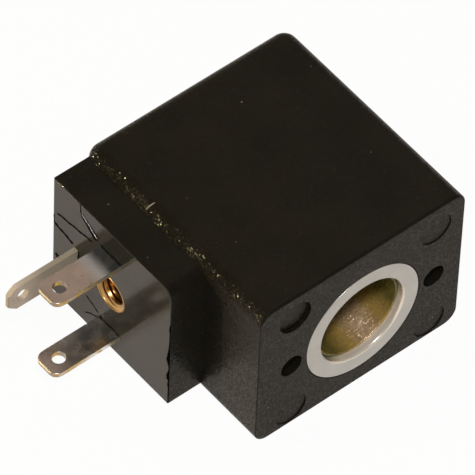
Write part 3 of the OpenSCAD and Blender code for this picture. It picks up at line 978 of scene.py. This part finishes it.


# flash on the plug face: thin lines and one glossy bead, with dark lines at the tabs' roots and under the
# bead that are painted shade; by their ends as (y, z) and the radii there in mm
plainLine = {"waves": 1.0, "glossy": False}
padLines = {
    "upperFlashLine": {**plainLine, "ends": ((10.59, 3.84), (5.76, 4.60)), "radii": (0.090, 0.090)},
    "lowerFlashLine": {**plainLine, "ends": ((10.88, 2.34), (8.27, 1.87)), "radii": (0.100, 0.100)},
    "shortFlashLine": {**plainLine, "ends": ((10.84, 3.44), (10.85, 2.34)), "radii": (0.055, 0.055)},
    "flashStem": {**plainLine, "ends": ((7.49, 7.90), (7.34, 6.81)), "radii": (0.055, 0.065)},
    "flashBead": {"ends": ((7.34, 6.81), (5.13, 5.45)), "radii": (0.13, 0.28), "waves": 0.25, "glossy": True},
    # a matte black foot under the bead: it paints the dark sides of the glossy bead, a painted dark
    # reflection
    "beadDarkSidesFoot": {**plainLine, "ends": ((7.36, 6.80), (5.10, 5.40)), "radii": (0.22, 0.42), "waves": 0.5},
    # dark lines along the tabs' roots: painted shade of the gap where each tab enters the block
    "upperRootShadeLine": {**plainLine, "ends": ((4.85, 5.23), (1.95, 5.23)), "radii": (0.075, 0.075)},
    "lowerRootShadeLine": {**plainLine, "ends": ((4.85, -4.17), (1.95, -4.17)), "radii": (0.065, 0.065)},
    "earthRootShadeLine": {**plainLine, "ends": ((7.60, 1.62), (7.60, -1.22)), "radii": (0.085, 0.085)},
    "tabFlashUpper": {**plainLine, "ends": ((6.50, -3.10), (4.80, -3.90)), "radii": (0.055, 0.055)},
    "tabFlashLower": {**plainLine, "ends": ((6.60, -5.45), (4.90, -4.45)), "radii": (0.065, 0.065)},
    "sideFlashBlob": {**plainLine, "ends": ((10.60, -1.55), (10.25, -1.85)), "radii": (0.130, 0.130)},
}
# their common form: each wave by its size and its radians per mm, and how flat the broad matte ones lie
lineShape = {
    "rows": 101,
    "loop": 13,
    "loopDegrees": (-25.0, 205.0),
    "slowWave": (0.14, 9.0),
    "fastWave": (0.10, 23.0),
    "meanRadius": 0.80,
    "taperShare": 0.06,
    "taperLeast": 0.15,
    "wander": (0.035, 4.0),
    "wanderStart": 2.0,
    "flatFrom": 0.15,
    "flatRise": 0.12,
    "roundRise": 0.9,
}


def addSweep(name, points, material):
    # a tube of rows of loops, closed by flat ends
    rows, columns, _ = points.shape
    faces = gridFaces(rows, columns)[: (rows - 1) * columns].tolist()
    faces.append(list(range(columns)))
    faces.append(list(range((rows - 1) * columns, rows * columns)))
    piece = addPiece(name, points, faces, material, None, "flash")
    shape = bmesh.new()
    shape.from_mesh(piece.data)
    bmesh.ops.recalc_face_normals(shape, faces=shape.faces)
    shape.to_mesh(piece.data)
    shape.free()


def addPadLine(name, line):
    # a round back on a straight path: its radius runs from one end's to the other's, times a sum of two
    # waves, and its middle wanders to the sides by a third
    s = lineShape
    t = np.linspace(0.0, 1.0, s["rows"])[:, None]
    start, end = (np.array(p) for p in line["ends"])
    reach = np.linalg.norm(end - start)
    along = (end - start) / reach
    across = np.array([-along[1], along[0]])
    slowShare, slowRate = s["slowWave"]
    fastShare, fastRate = s["fastWave"]
    waves = slowShare * np.sin(slowRate * reach * t + start[0]) + fastShare * np.sin(fastRate * reach * t)
    taper = np.clip(np.minimum(t, 1 - t) / s["taperShare"], s["taperLeast"], 1.0)
    first, last = line["radii"]
    radius = (first + (last - first) * t) * (s["meanRadius"] + line["waves"] * waves) * taper
    wanderReach, wanderRate = s["wander"]
    wander = wanderReach * line["waves"] * np.sin(wanderRate * reach * t + s["wanderStart"] * start[1])
    turn = np.radians(np.linspace(*s["loopDegrees"], s["loop"]))[None, :]
    side = wander + radius * np.cos(turn)
    stands = line["glossy"] or first < s["flatFrom"]
    rise = radius * np.sin(turn) * (s["roundRise"] if stands else s["flatRise"])
    y = start[0] + (end - start)[0] * t + across[0] * side
    z = start[1] + (end - start)[1] * t + across[1] * side
    points = np.stack([padFaceX - rise * mm, y * mm, z * mm], -1)
    addSweep(name, points, glossyFlash if line["glossy"] else matteFlash)


for lineName, lineValues in padLines.items():
    addPadLine(lineName, lineValues)


# ragged flash fin on the pad's front edge: how far it stands out, against height, in mm
padFin = {
    "z": (-6.60, -5.60, -4.60, -4.10, -3.55, -3.25, -2.60, -2.20, -1.80, -1.35,
          -0.85, -0.50, 0.20, 0.90, 1.70, 2.60, 3.10, 3.35, 3.70),
    "out": (0.02, 0.05, 0.03, 0.12, 0.05, 0.20, 0.24, 0.04, 0.03, 0.13,
            0.22, 0.30, 0.17, 0.07, 0.03, 0.02, 0.10, 0.09, 0.02),
    "frontY": -4.45,
    "offset": 0.005,
    "thickness": 0.06,
    "section": (0.0, 0.0, 0.6, 1.0),
    "root": 0.10,
    "rows": 120,
    "ripple": 0.22,
    "rippleRates": (31.0, 17.0),
    "rippleStart": 1.0,
}


def addPadFin():
    # upright blade: its outer edge follows the table, times one plus the product of two fine waves
    f = padFin
    z = np.linspace(f["z"][0], f["z"][-1], f["rows"])
    firstRate, secondRate = f["rippleRates"]
    ripple = f["ripple"] * np.sin(firstRate * z) * np.sin(secondRate * z + f["rippleStart"])
    out = np.interp(z, f["z"], f["out"]) * (1.0 + ripple)
    x = np.stack([np.full_like(z, f["root"]), -out, -out, np.full_like(z, f["root"])], -1)
    y = np.broadcast_to(np.array(f["section"]) * f["thickness"] + f["frontY"] + f["offset"], x.shape)
    points = np.stack([padFaceX + x * mm, y * mm, np.broadcast_to(z[:, None], x.shape) * mm], -1)
    addSweep("padEdgeFlash", points, matteFlash)


addPadFin()


# scuff across the rounded upper edge, in mm: angles up from the level, in degrees
edgeScuff = {
    "y": 3.33,
    "lean": -0.25,
    "centre": (-9.90, 7.65),
    "edgeRadius": 1.35,
    "angles": (28.0, 74.0),
    "radius": 0.050,
    "taperGain": 1.4,
    "taperFrom": 0.03,
    "taperSpan": 0.94,
    "rows": 25,
    "loop": 10,
}


def addEdgeScuff():
    # a thin burr that follows the edge's arc, round in section and tapered to both ends
    s = edgeScuff
    t = np.linspace(0.0, 1.0, s["rows"])[:, None]
    angle = np.radians(s["angles"][0] + (s["angles"][1] - s["angles"][0]) * t)
    turn = np.linspace(0.0, 2 * np.pi, s["loop"], endpoint=False)[None, :]
    taper = s["taperGain"] * np.sin(np.pi * (s["taperFrom"] + s["taperSpan"] * t))
    radius = s["radius"] * np.clip(taper, 0.0, 1.0)
    away = s["edgeRadius"] + radius * np.sin(turn)
    x = s["centre"][0] - away * np.cos(angle)
    z = s["centre"][1] + away * np.sin(angle)
    y = s["y"] + s["lean"] * (t - 0.5) + radius * np.cos(turn)
    addSweep("edgeScuff", np.stack([x, y, z], -1) * mm, paleScuff)


addEdgeScuff()
print("flash added")


# sealed pieces keep their solids and get their own finish
innerFinish = {
    "bobbin": "naturalNylon",
    "winding": "copperTurns",
    "winding_tape": "yellowTape",
    "yoke_bracket": "yokeSteel",
    "yoke_front_plate": "yokeSteel",
    "earth_rivet": "rivetBrass",
    "start_lead": "copperTurns",
    "finish_lead": "copperTurns",
    "start_sleeving": "redSleeving",
    "finish_sleeving": "redSleeving",
    "start_solder": "softSolder",
    "finish_solder": "softSolder",
}
for node, finish in innerFinish.items():
    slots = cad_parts[node].data.materials
    slots.clear()
    slots.append(innerMetals[finish])
print("sealed pieces finished:", len(innerFinish))


# floor: a wide white disc that curves up at its rim
floorShape = {
    "radius": 3.0,
    "cove": 0.4,
    "drop": 0.00002,
    "sides": 96,
    "steps": 12,
    "tone": (0.80, 0.765, 0.725),
}
backdropShare = {"camera": 0.96, "mirror": 0.60, "mirrorTint": (1.0, 0.925, 0.845)}


def makeFloorFinish():
    material, tree, shader, _ = startMaterial("stageWhite", specular=0.0)
    shader.inputs["Base Color"].default_value = (*floorShape["tone"], 1.0)
    shader.inputs["Roughness"].default_value = 1.0
    path = addNode(tree, "ShaderNodeLightPath").outputs
    seen = mathNode(tree, "MULTIPLY", path["Is Camera Ray"], backdropShare["camera"])
    mirrored = mathNode(tree, "MAXIMUM", path["Is Glossy Ray"], path["Is Transmission Ray"])
    mirrored = mathNode(tree, "MULTIPLY", mirrored, backdropShare["mirror"])
    share = mathNode(tree, "MAXIMUM", seen, mirrored)
    tint = mixColour(tree, path["Is Camera Ray"], backdropShare["mirrorTint"], (1.0, 1.0, 1.0))
    white = addNode(tree, "ShaderNodeEmission", {"Color": tint, "Strength": 1.0})
    mix = addNode(tree, "ShaderNodeMixShader", {0: share, 1: shader.outputs[0], 2: white.outputs[0]})
    tree.links.new(mix.outputs[0], tree.nodes["Material Output"].inputs["Surface"])
    return material


def addFloor():
    # flat out to the cove, then a quarter circle up
    s = floorShape
    turn = np.linspace(0.0, np.pi / 2, s["steps"])
    reach = np.concatenate([[0.0], s["radius"] - s["cove"] + s["cove"] * np.sin(turn)])[:, None]
    rise = np.concatenate([[0.0], s["cove"] * (1 - np.cos(turn))])[:, None]
    angle = np.linspace(0.0, 2 * np.pi, s["sides"], endpoint=False)[None, :]
    base = cadLow.z - s["drop"]
    points = np.stack([reach * np.cos(angle), reach * np.sin(angle), base + rise + 0 * angle], -1)
    rows, columns, _ = points.shape
    faces = gridFaces(rows, columns)[: (rows - 1) * columns]
    mesh = bpy.data.meshes.new("stageFloor")
    mesh.from_pydata(points.reshape(-1, 3).tolist(), [], faces.tolist())
    mesh.materials.append(makeFloorFinish())
    floor = bpy.data.objects.new("stageFloor", mesh)
    bpy.context.scene.collection.objects.link(floor)


addFloor()


# light: a compact lamp high in front, a small warm one low behind for the grain's glints, and a dim warm room
lamps = {
    "frontLamp": {
        "from": (-0.29, -0.39, 0.876),
        "distance": 0.8,
        "size": 0.10,
        "watts": 4.0,
        "tint": (1.0, 0.97, 0.93),
    },
    "glintLamp": {
        "from": (-0.80, 0.55, 0.25),
        "distance": 0.8,
        "size": 0.03,
        "watts": 5.4,
        "tint": (1.0, 0.82, 0.42),
    },
}
roomTone = {
    "dark": (0.10, 0.095, 0.085),
    "glow": (0.50, 0.41, 0.335),
    "towards": (0.40, 0.46, 0.79),
    "reach": (0.74, 0.93),
}


def addLamp(name, lamp):
    data = bpy.data.lights.new(name, "AREA")
    data.size = lamp["size"]
    data.energy = lamp["watts"]
    data.color = lamp["tint"]
    place = Vector(lamp["from"]).normalized() * lamp["distance"]
    light = bpy.data.objects.new(name, data)
    light.matrix_world = Matrix.Translation(place) @ (-place).to_track_quat("-Z", "Y").to_matrix().to_4x4()
    bpy.context.scene.collection.objects.link(light)


def setRoom():
    world = bpy.data.worlds.new("room")
    world.use_nodes = True
    tree = world.node_tree
    dim = tree.nodes["Background"]
    # the room glows from one side overhead: its tone follows how near a direction is to that side
    way = tree.nodes.new("ShaderNodeTexCoord").outputs["Generated"]
    match = vectorNode(tree, "DOT_PRODUCT", way, Vector(roomTone["towards"]).normalized())["Value"]
    share = rangeNode(tree, match, *roomTone["reach"], 0.0, 1.0)
    tree.links.new(mixColour(tree, share, roomTone["dark"], roomTone["glow"]), dim.inputs["Color"])
    # white where it is seen, and below the level where it is mirrored
    white = addNode(tree, "ShaderNodeBackground", {"Color": (1, 1, 1, 1), "Strength": 1.0})
    path = addNode(tree, "ShaderNodeLightPath").outputs
    below = mathNode(tree, "LESS_THAN", addNode(tree, "ShaderNodeSeparateXYZ", {0: way}).outputs["Z"], 0.0)
    mirrored = mathNode(tree, "MAXIMUM", path["Is Glossy Ray"], path["Is Transmission Ray"])
    seen = mathNode(tree, "MAXIMUM", path["Is Camera Ray"], mathNode(tree, "MULTIPLY", mirrored, below))
    mix = addNode(tree, "ShaderNodeMixShader", {0: seen, 1: dim.outputs[0], 2: white.outputs[0]})
    tree.links.new(mix.outputs[0], tree.nodes["World Output"].inputs["Surface"])
    bpy.context.scene.world = world


for lampName, lampValues in lamps.items():
    addLamp(lampName, lampValues)
setRoom()
print("stage and light set")
